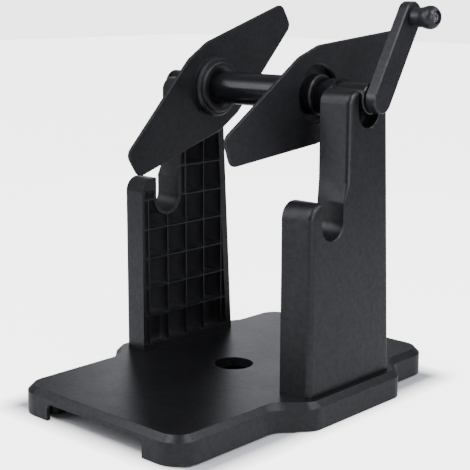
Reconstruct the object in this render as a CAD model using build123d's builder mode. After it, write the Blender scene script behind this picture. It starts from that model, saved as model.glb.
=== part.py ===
from build123d import *
import os
from math import cos, radians, sin

# Label roll holder: a moulded base tray, two slotted uprights, and a cranked shaft
# that carries two sliding paddles. Millimetres, +Z up, crank on the +X side, front at -Y.
# The origin is on the floor, under the axis of the hole in the middle of the base.

# Base tray
body_width = 167.0
body_depth = 284.5
base_height = 20.5
top_bevel = 4.25
corner_radius = 19.0
wing_step = 20.1
wing_length = 100.0
wing_corner_radius = 14.0
wing_root_radius = 16.0
skirt_wall = 3.0
deck_thickness = 3.6
notch_width = 99.0
notch_height = 12.9
notch_radius = 5.5
hole_radius = 15.0
hole_collar_wall = 3.0
rib_thickness = 2.0
rib_depth = 3.4
rib_pitch = 36.0

# Foot pads
pad_radius = 9.0
pad_recess = 1.4
foot_stand = 1.0
pad_boss_wall = 2.0
foot_inset = 19.0
pad_clearance = 0.1

# Uprights: heights counted from the deck, places across counted from their front face,
# and the inset from the tray's side to the inner face
upright_inset = 12.9
upright_thickness = 24.2
upright_depth = 101.0
rear_margin = 69.25
back_lean = 12.13
front_sweep = 3.6
horn_height = 138.2
post_height = 213.3
post_setback = 40.2
slot_width = 24.0
lower_slot_setback = 27.0
lower_slot_depth = 28.0
upper_slot_depth = 27.3
saddle_thickness = 12.0
horn_round = 11.5
post_round = 10.0
post_back_round = 6.6
edge_round = 4.6
back_edge_round = 6.5
runout_drop = 3.2
runout_rise = 14.0
slot_bevel = 0.7

# Ribbed field on each inner face
field_rim = 6.6
field_foot = 4.4
cell_width = 20.4
cell_height = 23.4
rib_width = 1.6
pocket_depth = 4.0
slot_rim = 2.6

# Screws that hold the uprights from below
screw_radius = 2.0
screw_head_radius = 3.9
screw_head_height = 2.6
screw_grip = 16.0
screw_spacing = 64.0
screw_boss_radius = 8.0
screw_boss_floor = 5.0
screw_clearance = 0.06

# Shaft line: the axis lies this far below the post's top and behind the upright's front face
shaft_drop = 6.7
shaft_setback = 65.6
shaft_radius = 12.5
shaft_wall = 1.5
journal_radius = 9.2
plug_length = 16.0
bush_radius = 11.2
bush_stand = 2.2
flange_radius = 13.3
flange_thickness = 2.2
flange_gap = 0.5
bush_lip = 0.8
running_clearance = 0.05
seat_clearance = 0.2
end_gap = 0.4

# End cap on the left
cap_length = 4.4
cap_bevel = 1.6
cap_screw_radius = 2.0
cap_screw_length = 14.0
cap_screw_head_radius = 4.0
cap_screw_head_height = 1.6

# Crank
crank_angle = 59.15
crank_throw = 65.3
crank_reach = 66.4
crank_end_radius = 10.15
crank_thickness = 7.6
crank_gap = 1.9
crank_edge_bevel = 0.8
drive_square = 10.0
drive_depth = 6.0
grub_radius = 1.5
grub_length = 3.6

# Knob
knob_length = 19.5
knob_neck_length = 6.4
knob_neck_radius = 7.0
knob_bulb_place = 13.8
knob_bulb_radius = 8.3
knob_gap = 0.4
knob_rim_radius = 5.2
knob_recess_radius = 4.4
knob_recess_depth = 3.2
knob_screw_radius = 2.5
knob_thread_radius = 2.0
knob_screw_head_radius = 3.9
knob_screw_head_height = 2.2

# Paddles
paddle_half_length = 102.9
paddle_tip_half_width = 10.8
paddle_half_width = 33.8
paddle_flat_half_length = 11.9
paddle_thickness = 2.8
paddle_flat_radius = 22.0
paddle_tip_radius = 7.2
paddle_edge_bevel = 0.7
left_paddle_angle = 32.1
right_paddle_angle = 19.5
left_paddle_stand_off = 14.4
right_paddle_stand_off = 21.4
hub_radius = 23.2
hub_height = 5.8
hub_wall = 1.9
hub_round = 1.6
hub_mouth_bevel = 1.4
spigot_radius = 20.0
spigot_wall = 3.4
spigot_height = 2.2
spigot_round = 1.8
dish_floor = 0.6
sleeve_radius = 15.0
sleeve_stand = 3.0
sleeve_round = 1.0
grip_section = 1.3
grip_groove_width = 1.6

overrun = 5.0
nearness = 0.5

# Places worked out from the sizes above
deck_z = foot_stand + base_height
deck_underside_z = deck_z - deck_thickness
upright_inner_x = body_width / 2 - upright_inset
upright_outer_x = upright_inner_x + upright_thickness
upright_mid_x = upright_inner_x + upright_thickness / 2
upright_back_y = body_depth / 2 - rear_margin
upright_front_y = upright_back_y - upright_depth
upright_mid_y = (upright_front_y + upright_back_y) / 2
post_front_y = upright_front_y + post_setback
lower_slot_y = upright_front_y + lower_slot_setback
shaft_y = upright_front_y + shaft_setback
slot_half = slot_width / 2
lower_slot_height = horn_height - lower_slot_depth
upper_slot_height = post_height - upper_slot_depth
runout_start = horn_height - runout_drop
shaft_height = post_height - shaft_drop
axis_z = deck_z + shaft_height
seat_height = shaft_height - bush_radius - seat_clearance
flange_face_x = upright_inner_x - flange_gap
bush_start_x = flange_face_x - flange_thickness
bush_end_x = upright_outer_x + bush_stand
tube_end_x = bush_start_x - end_gap
cap_start_x = bush_end_x + end_gap
crank_start_x = bush_end_x + crank_gap
left_paddle_face_x = left_paddle_stand_off - upright_inner_x
right_paddle_face_x = upright_inner_x - right_paddle_stand_off

inner_face = Plane(origin=(upright_inner_x, 0, deck_z), x_dir=(0, 1, 0), z_dir=(1, 0, 0))
shaft_line = Plane(origin=(0, shaft_y, axis_z), x_dir=(1, 0, 0), z_dir=(0, -1, 0))


def across_shaft(x, angle=0):
    """Plane square to the shaft at x, its first axis turned up from the rear by an angle."""
    turn = radians(angle)
    return Plane(origin=(x, shaft_y, axis_z), x_dir=(0, cos(turn), sin(turn)), z_dir=(1, 0, 0))


def back_y(height):
    """Back edge of an upright at a height above the deck."""
    return upright_back_y - back_lean * height / post_height


def u_slot(mid_y, bottom, half_width, top, mode=Mode.ADD):
    """U-shaped slot in the sketch of the inner face, open at the top."""
    with Locations((mid_y, bottom + half_width)):
        Circle(half_width, mode=mode)
    with Locations((mid_y, (bottom + half_width + top) / 2)):
        Rectangle(2 * half_width, top - bottom - half_width, mode=mode)


def turned_section(plane, points):
    """Half section of a turned piece: points are (along the axis, radius)."""
    with BuildSketch(plane) as section:
        with BuildLine():
            Polyline(*points, close=True)
        make_face()
    return section.sketch


def save(part, name):
    """Label a finished piece and write it out."""
    part.label = name
    export_step(part, f"parts/{name}.step")


os.makedirs("parts", exist_ok=True)

# Base tray: one moulding with a bevelled deck, a skirt, and wings under the uprights.
body_half = body_width / 2
wing_half = body_half + wing_step
wing_points = []
for side_x, side_y in ((1, -1), (1, 1), (-1, 1), (-1, -1)):
    flat = (side_x * wing_half, upright_mid_y + side_y * wing_length / 2)
    root = (side_x * body_half, upright_mid_y + side_y * (wing_length / 2 + wing_step))
    wing_points += [flat, root] if side_x * side_y > 0 else [root, flat]

with BuildSketch(Plane.XY.offset(foot_stand)) as outline:
    Rectangle(body_width, body_depth)
    with BuildLine():
        Polyline(*wing_points, close=True)
    make_face()
    flat_corners = outline.vertices().filter_by(lambda v: abs(v.X) > body_half + wing_step / 2)
    fillet(flat_corners, wing_corner_radius)
    roots = outline.vertices().filter_by(
        lambda v: abs(abs(v.X) - body_half) < nearness and abs(v.Y) < body_depth / 2 - corner_radius)
    fillet(roots, wing_root_radius)
    ends = outline.vertices().filter_by(lambda v: abs(v.Y) > body_depth / 2 - nearness)
    fillet(ends, corner_radius)

with BuildSketch() as rib_area:
    add(outline.sketch_local)
    offset(amount=-skirt_wall / 2)

foot_x = body_half - foot_inset
foot_y = body_depth / 2 - foot_inset
feet = [(sx * foot_x, sy * foot_y) for sx in (-1, 1) for sy in (-1, 1)]
screw_places = [(sx * upright_mid_x, upright_mid_y + sy * screw_spacing / 2)
                for sx in (-1, 1) for sy in (-1, 1)]

with BuildPart() as base_tray:
    add(outline.sketch)
    extrude(amount=base_height)
    chamfer(base_tray.edges().group_by(Axis.Z)[-1], top_bevel)
    with BuildSketch(Plane.XY.offset(foot_stand)):
        add(outline.sketch)
        offset(amount=-skirt_wall)
    extrude(amount=base_height - deck_thickness, mode=Mode.SUBTRACT)
    with BuildSketch(Plane.XY.offset(deck_underside_z - rib_depth)):
        bars_across = int(body_depth / 2 / rib_pitch)
        bars_along = int(body_width / 2 / rib_pitch)
        with GridLocations(rib_pitch, 0, 2 * bars_along + 1, 1):
            Rectangle(rib_thickness, body_depth)
        with GridLocations(0, rib_pitch, 1, 2 * bars_across + 1):
            Rectangle(2 * wing_half, rib_thickness)
        add(rib_area.sketch_local, mode=Mode.INTERSECT)
    extrude(amount=rib_depth)
    with BuildSketch(Plane.XY.offset(foot_stand)):
        with Locations(*feet):
            Circle(pad_radius + pad_boss_wall)
    extrude(amount=deck_underside_z - foot_stand)
    with BuildSketch(Plane.XY.offset(foot_stand + screw_boss_floor)):
        with Locations(*screw_places):
            Circle(screw_boss_radius)
    extrude(amount=deck_underside_z - foot_stand - screw_boss_floor)
    with BuildSketch(Plane.XY.offset(deck_underside_z - rib_depth)):
        Circle(hole_radius + hole_collar_wall)
    extrude(amount=rib_depth)
    with BuildSketch(Plane.XY):
        Circle(hole_radius)
    extrude(amount=deck_z + overrun, mode=Mode.SUBTRACT)
    with BuildSketch(Plane.XY):
        with Locations(*feet):
            Circle(pad_radius + pad_clearance)
    extrude(amount=foot_stand + pad_recess, mode=Mode.SUBTRACT)
    with BuildSketch(Plane.XY):
        with Locations(*screw_places):
            Circle(screw_radius + screw_clearance)
    extrude(amount=deck_z + overrun, mode=Mode.SUBTRACT)
    with BuildSketch(Plane.XY):
        with Locations(*screw_places):
            Circle(screw_head_radius + screw_clearance)
    extrude(amount=foot_stand + screw_boss_floor + screw_head_height, mode=Mode.SUBTRACT)
    with BuildSketch(Plane.XZ) as notch:
        with Locations((0, foot_stand + notch_height / 2)):
            Rectangle(notch_width, notch_height)
        fillet(notch.vertices().group_by(Axis.Y)[-1], notch_radius)
    extrude(amount=body_depth, both=True, mode=Mode.SUBTRACT)
save(base_tray.part, "base_tray")

# Foot pads, one under each corner boss.
pad_names = ("front_left_foot_pad", "rear_left_foot_pad", "front_right_foot_pad", "rear_right_foot_pad")
for pad_name, place in zip(pad_names, feet):
    with BuildPart() as foot_pad:
        with BuildSketch():
            with Locations(place):
                Circle(pad_radius)
        extrude(amount=foot_stand + pad_recess)
    save(foot_pad.part, pad_name)

# Right upright: a lower block with the horn and the lower slot, and the tall post behind it.
# Both front walls lean back towards the outer face.
slot_front_y = lower_slot_y - slot_half
slot_back_y = lower_slot_y + slot_half
upper_slot_front_y = shaft_y - slot_half
upper_slot_back_y = shaft_y + slot_half
lower_arc_height = lower_slot_height + slot_half
block_back_y = (post_front_y + back_y(horn_height)) / 2
sweep = Vector(upright_thickness, front_sweep, 0)

with BuildPart() as lower_block:
    with BuildSketch(inner_face):
        with BuildLine():
            Polyline(
                (slot_back_y, lower_arc_height),
                (slot_back_y, runout_start),
                (block_back_y, runout_start),
                (block_back_y, 0),
                (upright_front_y - overrun, 0),
                (upright_front_y - overrun, horn_height + overrun),
                (slot_front_y, horn_height + overrun),
                (slot_front_y, lower_arc_height),
            )
            ThreePointArc(
                (slot_front_y, lower_arc_height),
                (lower_slot_y, lower_slot_height),
                (slot_back_y, lower_arc_height),
            )
        make_face()
    extrude(amount=upright_thickness)
    with BuildSketch(inner_face) as block_front:
        with Locations((upright_front_y, -overrun)):
            Rectangle(upright_depth, horn_height + overrun, align=(Align.MIN, Align.MIN))
        fillet(block_front.vertices().group_by(Axis.X)[0].sort_by(Axis.Y)[-1], horn_round)
    extrude(amount=sweep.length, dir=sweep, mode=Mode.INTERSECT)
    outer_edges = lower_block.faces().sort_by(Axis.X)[-1].edges()
    horn_edges = outer_edges.filter_by(
        lambda e: e.center().Y < slot_front_y - nearness and e.center().Z > deck_z + nearness)
    fillet(horn_edges, edge_round)

with BuildPart() as right_upright:
    with BuildSketch(inner_face) as post_outline:
        with BuildLine():
            Polyline(
                (post_front_y - overrun, 0),
                (post_front_y - overrun, post_height),
                (back_y(post_height), post_height),
                (upright_back_y, 0),
                close=True,
            )
        make_face()
        fillet(post_outline.vertices().group_by(Axis.Y)[-1].sort_by(Axis.X)[-1], post_back_round)
    extrude(amount=upright_thickness)
    with BuildSketch(inner_face) as post_front:
        with Locations((post_front_y, -overrun)):
            Rectangle(upright_depth, post_height + overrun, align=(Align.MIN, Align.MIN))
        fillet(post_front.vertices().group_by(Axis.X)[0].sort_by(Axis.Y)[-1], post_round)
    extrude(amount=sweep.length, dir=sweep, mode=Mode.INTERSECT)
    with BuildSketch(inner_face):
        u_slot(shaft_y, seat_height, slot_half, post_height + overrun)
    extrude(amount=upright_thickness + overrun, mode=Mode.SUBTRACT)
    with BuildSketch(inner_face.offset(saddle_thickness)):
        u_slot(shaft_y, upper_slot_height, slot_half, post_height + overrun)
    extrude(amount=upright_thickness, mode=Mode.SUBTRACT)
    post_edges = right_upright.faces().sort_by(Axis.X)[-1].edges().filter_by(
        lambda e: e.center().Z > deck_z + nearness)
    fillet(post_edges.filter_by(lambda e: e.center().Y < upper_slot_front_y - nearness), edge_round)
    fillet(post_edges.filter_by(lambda e: e.center().Y > upper_slot_back_y + nearness), back_edge_round)
    add(lower_block.part)
    with BuildSketch(Plane.XY.offset(deck_z + runout_start)) as runout_foot:
        with BuildLine():
            Polyline(
                (upright_inner_x, slot_back_y),
                (upright_outer_x, slot_back_y),
                (upright_outer_x, block_back_y),
                (upright_inner_x, block_back_y),
                close=True,
            )
        make_face()
        fillet(runout_foot.vertices().group_by(Axis.X)[-1].sort_by(Axis.Y)[0], slot_bevel)
    with BuildSketch(Plane.XY.offset(deck_z + runout_start + runout_rise)) as runout_head:
        with BuildLine():
            Polyline(
                (upright_inner_x, post_front_y),
                (upright_outer_x, post_front_y + front_sweep),
                (upright_outer_x, block_back_y),
                (upright_inner_x, block_back_y),
                close=True,
            )
        make_face()
        fillet(runout_head.vertices().group_by(Axis.X)[-1].sort_by(Axis.Y)[0], edge_round)
    loft(ruled=True)
    with BuildSketch(inner_face.offset(upright_thickness)):
        u_slot(lower_slot_y, lower_slot_height - slot_bevel, slot_half + slot_bevel, runout_start)
        u_slot(shaft_y, upper_slot_height - slot_bevel, slot_half + slot_bevel, post_height + overrun)
    extrude(amount=-slot_bevel, taper=45, mode=Mode.SUBTRACT)
    with BuildSketch(inner_face):
        field_top = field_foot + cell_height * int((lower_arc_height - field_foot) / cell_height)
        post_field_top = field_foot + cell_height * int((post_height - field_rim) / cell_height)
        with BuildLine():
            Polyline(
                (upright_front_y + field_rim, field_foot),
                (upright_front_y + field_rim, field_top),
                (post_front_y + field_rim, field_top),
                (post_front_y + field_rim, post_field_top),
                (back_y(post_field_top) - field_rim, post_field_top),
                (back_y(field_foot) - field_rim, field_foot),
                close=True,
            )
        make_face()
        u_slot(lower_slot_y, lower_slot_height - slot_rim, slot_half + slot_rim, post_height, Mode.SUBTRACT)
        u_slot(shaft_y, seat_height - slot_rim, slot_half + slot_rim, post_height, Mode.SUBTRACT)
        columns = int(upright_depth / cell_width) + 1
        rows = int(post_height / cell_height) + 1
        rib_lines = [upright_front_y + field_rim + cell_width * i for i in range(columns)]
        rib_levels = [field_foot + cell_height * i for i in range(rows)]
        for rib_line in rib_lines:
            with Locations((rib_line, post_height / 2)):
                Rectangle(rib_width, post_height, mode=Mode.SUBTRACT)
        for rib_level in rib_levels:
            with Locations((upright_mid_y, rib_level)):
                Rectangle(upright_depth, rib_width, mode=Mode.SUBTRACT)
    extrude(amount=pocket_depth, mode=Mode.SUBTRACT)
    with BuildSketch(Plane.XY.offset(deck_z)):
        with Locations(*screw_places[2:]):
            Circle(screw_radius + screw_clearance)
    extrude(amount=screw_grip, mode=Mode.SUBTRACT)
save(right_upright.part, "right_upright")

with BuildPart() as left_upright:
    mirror(right_upright.part, about=Plane.YZ)
save(left_upright.part, "left_upright")

# Pan-head screws, two into the foot of each upright.
head_seat_z = foot_stand + screw_boss_floor + screw_head_height
for screws_name, places in (
        ("left_upright_screws", screw_places[:2]),
        ("right_upright_screws", screw_places[2:])):
    with BuildPart() as upright_screws:
        with BuildSketch(Plane.XY.offset(foot_stand + screw_boss_floor)):
            with Locations(*places):
                Circle(screw_head_radius)
        extrude(amount=screw_head_height)
        chamfer(upright_screws.edges().group_by(Axis.Z)[0], screw_head_height / 3)
        with BuildSketch(Plane.XY.offset(head_seat_z)):
            with Locations(*places):
                Circle(screw_radius)
        extrude(amount=deck_z + screw_grip - pad_clearance - head_seat_z)
    save(upright_screws.part, screws_name)

# Bushes: flanged sleeves that sit in the upper slots while the shaft turns in them.
bush_bore = journal_radius + running_clearance
for side, bush_name in ((-1, "left_bush"), (1, "right_bush")):
    with BuildPart() as bush:
        add(turned_section(shaft_line, [
            (side * bush_start_x, bush_bore),
            (side * bush_start_x, flange_radius),
            (side * flange_face_x, flange_radius),
            (side * flange_face_x, bush_radius),
            (side * (bush_end_x - bush_lip), bush_radius),
            (side * bush_end_x, bush_radius - bush_lip),
            (side * bush_end_x, bush_bore),
        ]))
        revolve(axis=Axis((0, shaft_y, axis_z), (1, 0, 0)))
    save(bush.part, bush_name)

# Shaft: a tube with a turned journal pressed into each end.
shaft_axis = Axis((0, shaft_y, axis_z), (1, 0, 0))
with BuildPart() as shaft_tube:
    with BuildSketch(across_shaft(-tube_end_x)):
        Circle(shaft_radius)
        Circle(shaft_radius - shaft_wall, mode=Mode.SUBTRACT)
    extrude(amount=2 * tube_end_x)
save(shaft_tube.part, "shaft_tube")

plug_radius = shaft_radius - shaft_wall
plug_start_x = tube_end_x - plug_length
with BuildPart() as right_journal:
    add(turned_section(shaft_line, [
        (plug_start_x, 0),
        (plug_start_x, plug_radius),
        (tube_end_x, plug_radius),
        (tube_end_x, journal_radius),
        (crank_start_x, journal_radius),
        (crank_start_x, 0),
    ]))
    revolve(axis=shaft_axis)
    with BuildSketch(across_shaft(crank_start_x, crank_angle)):
        Rectangle(drive_square, drive_square)
    extrude(amount=drive_depth)
save(right_journal.part, "right_journal")

with BuildPart() as left_journal:
    add(turned_section(shaft_line, [
        (-plug_start_x, 0),
        (-plug_start_x, plug_radius),
        (-tube_end_x, plug_radius),
        (-tube_end_x, journal_radius),
        (-cap_start_x, journal_radius),
        (-cap_start_x, 0),
    ]))
    revolve(axis=shaft_axis)
    with BuildSketch(across_shaft(-cap_start_x)):
        Circle(cap_screw_radius + screw_clearance)
    extrude(amount=cap_screw_length, mode=Mode.SUBTRACT)
save(left_journal.part, "left_journal")

# End cap: keeps the left bush on the shaft, held by one screw.
with BuildPart() as left_end_cap:
    with BuildSketch(across_shaft(-cap_start_x - cap_length)):
        Circle(bush_radius)
    extrude(amount=cap_length)
    chamfer(left_end_cap.edges().group_by(Axis.X)[0], cap_bevel)
    with BuildSketch(across_shaft(-cap_start_x - cap_length)):
        Circle(cap_screw_head_radius + screw_clearance)
    extrude(amount=cap_screw_head_height, mode=Mode.SUBTRACT)
    with BuildSketch(across_shaft(-cap_start_x - cap_length)):
        Circle(cap_screw_radius + screw_clearance)
    extrude(amount=cap_length, mode=Mode.SUBTRACT)
save(left_end_cap.part, "left_end_cap")

with BuildPart() as end_cap_screw:
    with BuildSketch(across_shaft(-cap_start_x - cap_length)):
        Circle(cap_screw_head_radius)
    extrude(amount=cap_screw_head_height)
    with BuildSketch(across_shaft(-cap_start_x - cap_length + cap_screw_head_height)):
        Circle(cap_screw_radius)
    extrude(amount=cap_length - cap_screw_head_height + cap_screw_length - screw_clearance)
save(end_cap_screw.part, "end_cap_screw")

# Crank arm: a flat bar with round ends on the squared end of the right journal.
arm_plane = across_shaft(crank_start_x, crank_angle)
with BuildPart() as crank_arm:
    with BuildSketch(arm_plane):
        with Locations((crank_reach / 2, 0)):
            SlotCenterToCenter(crank_reach, 2 * crank_end_radius)
    extrude(amount=crank_thickness)
    chamfer(crank_arm.edges().group_by(Axis.X)[-1], crank_edge_bevel)
    with BuildSketch(arm_plane):
        Rectangle(drive_square, drive_square)
    extrude(amount=drive_depth, mode=Mode.SUBTRACT)
    with BuildSketch(arm_plane):
        with Locations((crank_throw, 0)):
            Circle(knob_thread_radius + screw_clearance)
    extrude(amount=crank_thickness, mode=Mode.SUBTRACT)
    grub_plane = Plane(
        origin=(arm_plane * Location((-crank_end_radius, 0, drive_depth / 2))).position,
        x_dir=(1, 0, 0), z_dir=arm_plane.x_dir)
    with BuildSketch(grub_plane.offset(-overrun)):
        Circle(grub_radius + screw_clearance)
    extrude(amount=overrun + crank_end_radius - drive_square / 2, mode=Mode.SUBTRACT)
save(crank_arm.part, "crank_arm")

with BuildPart() as crank_grub_screw:
    with BuildSketch(grub_plane.offset(crank_end_radius - drive_square / 2 - grub_length)):
        Circle(grub_radius)
    extrude(amount=grub_length)
save(crank_grub_screw.part, "crank_grub_screw")

# Knob: turns on a shouldered screw fixed in the arm.
knob_centre = (arm_plane * Location((crank_throw, 0, 0))).position
knob_line = Plane(origin=(0, knob_centre.Y, knob_centre.Z), x_dir=(1, 0, 0), z_dir=(0, -1, 0))
knob_axis = Axis((0, knob_centre.Y, knob_centre.Z), (1, 0, 0))
knob_start_x = crank_start_x + crank_thickness + knob_gap
knob_end_x = knob_start_x + knob_length
recess_floor_x = knob_end_x - knob_recess_depth
knob_bore = knob_screw_radius + running_clearance
neck_end_x = knob_start_x + knob_neck_length
bulb_x = knob_start_x + knob_bulb_place

with BuildPart() as crank_knob:
    with BuildSketch(knob_line):
        with BuildLine():
            Polyline(
                (knob_end_x, knob_rim_radius),
                (knob_end_x, knob_recess_radius),
                (recess_floor_x, knob_recess_radius),
                (recess_floor_x, knob_bore),
                (knob_start_x, knob_bore),
                (knob_start_x, knob_neck_radius),
                (neck_end_x, knob_neck_radius),
            )
            Spline(
                (neck_end_x, knob_neck_radius),
                (bulb_x, knob_bulb_radius),
                (knob_end_x, knob_rim_radius),
                tangents=((1, 0), (1, -2)),
            )
        make_face()
    revolve(axis=knob_axis)
save(crank_knob.part, "crank_knob")

with BuildPart() as knob_screw:
    add(turned_section(knob_line, [
        (crank_start_x, 0),
        (crank_start_x, knob_thread_radius),
        (crank_start_x + crank_thickness, knob_thread_radius),
        (crank_start_x + crank_thickness, knob_screw_radius),
        (recess_floor_x + running_clearance, knob_screw_radius),
        (recess_floor_x + running_clearance, knob_screw_head_radius),
        (recess_floor_x + knob_screw_head_height, knob_screw_head_radius),
        (recess_floor_x + knob_screw_head_height, 0),
    ]))
    revolve(axis=knob_axis)
save(knob_screw.part, "knob_screw")

# Paddles: a long eight-sided plate with a stepped hub that faces the roll.
paddle_bore = shaft_radius + running_clearance
groove_radius = paddle_bore + grip_section


def paddle(face_x, inward, angle):
    """Paddle whose crank-side face lies at face_x; inward is the side the roll lies on."""
    outer_x = face_x - paddle_thickness if inward > 0 else face_x
    plate_x = outer_x + inward * paddle_thickness
    plate_mid_x = (outer_x + plate_x) / 2
    hub_x = plate_x + inward * hub_height
    spigot_x = hub_x + inward * spigot_height
    sleeve_x = outer_x - inward * sleeve_stand
    groove_x = (sleeve_x + spigot_x) / 2
    with BuildPart() as body:
        with BuildSketch(across_shaft(min(outer_x, plate_x), angle)) as plate:
            with BuildLine():
                Polyline(
                    (paddle_half_length, -paddle_tip_half_width),
                    (paddle_half_length, paddle_tip_half_width),
                    (paddle_flat_half_length, paddle_half_width),
                    (-paddle_flat_half_length, paddle_half_width),
                    (-paddle_half_length, paddle_tip_half_width),
                    (-paddle_half_length, -paddle_tip_half_width),
                    (-paddle_flat_half_length, -paddle_half_width),
                    (paddle_flat_half_length, -paddle_half_width),
                    close=True,
                )
            make_face()
            fillet(plate.vertices().filter_by(lambda v: abs(v.X) < hub_radius), paddle_flat_radius)
            tips = plate.vertices().group_by(Axis.X)
            fillet(tips[0] + tips[-1], paddle_tip_radius)
        extrude(amount=paddle_thickness)
        rims = body.edges().group_by(Axis.X)
        chamfer(rims[0] + rims[-1], paddle_edge_bevel)
        with BuildSketch(across_shaft(min(outer_x, plate_x) - overrun)):
            Circle(hub_radius - hub_wall)
        extrude(amount=paddle_thickness + 2 * overrun, mode=Mode.SUBTRACT)
        with BuildSketch(across_shaft(outer_x)):
            Circle(hub_radius - hub_wall + hub_mouth_bevel)
        extrude(amount=inward * hub_mouth_bevel, taper=45, mode=Mode.SUBTRACT)
        with BuildSketch(shaft_line) as hub:
            with BuildLine():
                Polyline(
                    (plate_mid_x, hub_radius - hub_wall),
                    (hub_x - inward * hub_wall, hub_radius - hub_wall),
                    (hub_x - inward * hub_wall, sleeve_radius),
                    (sleeve_x + inward * sleeve_round, sleeve_radius),
                    (sleeve_x, sleeve_radius - sleeve_round),
                    (sleeve_x, paddle_bore),
                    (groove_x - inward * grip_groove_width / 2, paddle_bore),
                    (groove_x - inward * grip_groove_width / 2, groove_radius),
                    (groove_x + inward * grip_groove_width / 2, groove_radius),
                    (groove_x + inward * grip_groove_width / 2, paddle_bore),
                    (hub_x + inward * dish_floor, paddle_bore),
                    (spigot_x, spigot_radius - spigot_wall),
                    (spigot_x, spigot_radius),
                    (hub_x, spigot_radius),
                    (hub_x, hub_radius - hub_round),
                    (hub_x - inward * hub_round, hub_radius),
                    (plate_mid_x, hub_radius),
                    close=True,
                )
            make_face()
            spigot_edge = hub.vertices().filter_by(
                lambda v: abs(v.X - spigot_x) < nearness and v.Y > spigot_radius - nearness)
            fillet(spigot_edge, spigot_round)
        revolve(axis=shaft_axis)
    return body.part, groove_x


def grip_ring(groove_x):
    """Rubber ring in the paddle's bore that grips the shaft."""
    with BuildPart() as ring:
        with BuildSketch(shaft_line):
            with Locations((groove_x, paddle_bore + grip_section / 2)):
                RegularPolygon(grip_section / 2, 6)
        revolve(axis=shaft_axis)
    return ring.part


for side_name, face_x, inward, angle in (
        ("left", left_paddle_face_x, 1, left_paddle_angle),
        ("right", right_paddle_face_x, -1, right_paddle_angle)):
    paddle_part, groove_x = paddle(face_x, inward, angle)
    save(paddle_part, f"{side_name}_paddle")
    save(grip_ring(groove_x), f"{side_name}_grip_ring")
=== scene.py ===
"""Looks of a label roll holder: finishes, the uprights' deep cells, fixings, the knob, and the studio."""

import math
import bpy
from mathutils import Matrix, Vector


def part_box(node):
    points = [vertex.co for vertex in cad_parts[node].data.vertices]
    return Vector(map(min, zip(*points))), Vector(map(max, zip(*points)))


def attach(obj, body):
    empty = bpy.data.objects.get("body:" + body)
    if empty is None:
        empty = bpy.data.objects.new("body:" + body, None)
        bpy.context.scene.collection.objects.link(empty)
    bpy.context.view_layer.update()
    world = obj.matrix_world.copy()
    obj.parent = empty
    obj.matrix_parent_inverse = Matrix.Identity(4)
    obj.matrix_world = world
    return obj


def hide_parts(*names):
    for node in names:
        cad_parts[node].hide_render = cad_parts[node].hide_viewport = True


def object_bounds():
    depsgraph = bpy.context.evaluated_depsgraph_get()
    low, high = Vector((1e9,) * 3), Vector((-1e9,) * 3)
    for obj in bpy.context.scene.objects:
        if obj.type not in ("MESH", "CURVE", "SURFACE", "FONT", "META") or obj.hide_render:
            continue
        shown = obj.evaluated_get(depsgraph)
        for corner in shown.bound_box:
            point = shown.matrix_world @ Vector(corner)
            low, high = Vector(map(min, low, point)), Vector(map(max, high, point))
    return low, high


bl_info = {
    "name": "Label Roll Holder",
    "version": (1, 0, 0),
    "blender": (4, 5, 0),
    "location": "3D View > Sidebar > Roll Holder",
    "description": "Finishes, fixings and studio for a label roll holder",
    "category": "Object",
}

import bmesh
import bpy
from mathutils import Matrix, Vector
from mathutils.bvhtree import BVHTree
from mathutils.geometry import interpolate_bezier

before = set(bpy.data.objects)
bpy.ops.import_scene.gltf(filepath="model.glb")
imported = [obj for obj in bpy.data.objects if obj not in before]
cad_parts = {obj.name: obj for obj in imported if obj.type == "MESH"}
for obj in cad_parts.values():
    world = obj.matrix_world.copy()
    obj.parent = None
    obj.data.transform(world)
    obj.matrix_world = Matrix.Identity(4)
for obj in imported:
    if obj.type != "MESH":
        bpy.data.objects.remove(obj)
cad_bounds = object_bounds()

MM = 0.001
QUARTER = math.pi / 2
ALONG_SHAFT = Matrix.Rotation(QUARTER, 4, "Y")
UPWARD = Matrix.Identity(4)
DOWNWARD = Matrix.Rotation(math.pi, 4, "X")

UPRIGHT_NODES = ("left_upright", "right_upright")
PADDLE_NODES = ("left_paddle", "right_paddle")
TURNED_NODES = ("left_bush", "right_bush", "left_end_cap", "left_journal", "right_journal")
RUBBER_NODES = ("left_grip_ring", "right_grip_ring")
PAD_NODES = ("front_left_foot_pad", "front_right_foot_pad", "rear_left_foot_pad", "rear_right_foot_pad")
UPRIGHT_SCREW_NODES = ("left_upright_screws", "right_upright_screws")

# Grain size, grain depth, edge radius and mottling of each kind of plastic, as shares of the tray's
PLASTIC_SHARES = {
    "moulded": (1, 1, 1, 1),
    "paddle": (1, 0.8, 1, 1),
    "turned": (0.6, 0.4, 0.6, 1 / 3),
    "crank": (0.8, 0.6, 1, 1),
}
# Edge radius of the screws, and of the rubber, as a share of the tray's
STEEL_EDGE_SHARE = 0.4
RUBBER_EDGE_SHARE = 0.6

# How far a softened normal agrees with the true one on an edge and on a face, and the rays that look
EDGE_AGREEMENT = 0.72
FACE_AGREEMENT = 0.995
SHADER_RAYS = 8

# Facets of the turned pieces, and steps of their rounds and curves
SEGMENTS = 96
GRUB_SEGMENTS = 48
SHOULDER_STEPS = 8
RIM_STEPS = 6
CURVE_POINTS = 18

# Seed of the turns that the upright screws and the foot pads stand at
TURN_SEED = 7
# Places of a foot pad's grooves, as shares of its radius
PAD_GROOVE_SHARES = (0.42, 0.72)

# Level ribs of an upright under its horn and under its post's top, counted up from the deck
HORN_LEVEL = 5
TOP_LEVEL = 8

# Distances under which corners are welded and places count as the same, and a ray's first step off a face
WELD = MM / 1000
NEAR = MM / 50
CLEAR = MM / 10
PROBE_STEPS = 6

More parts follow.
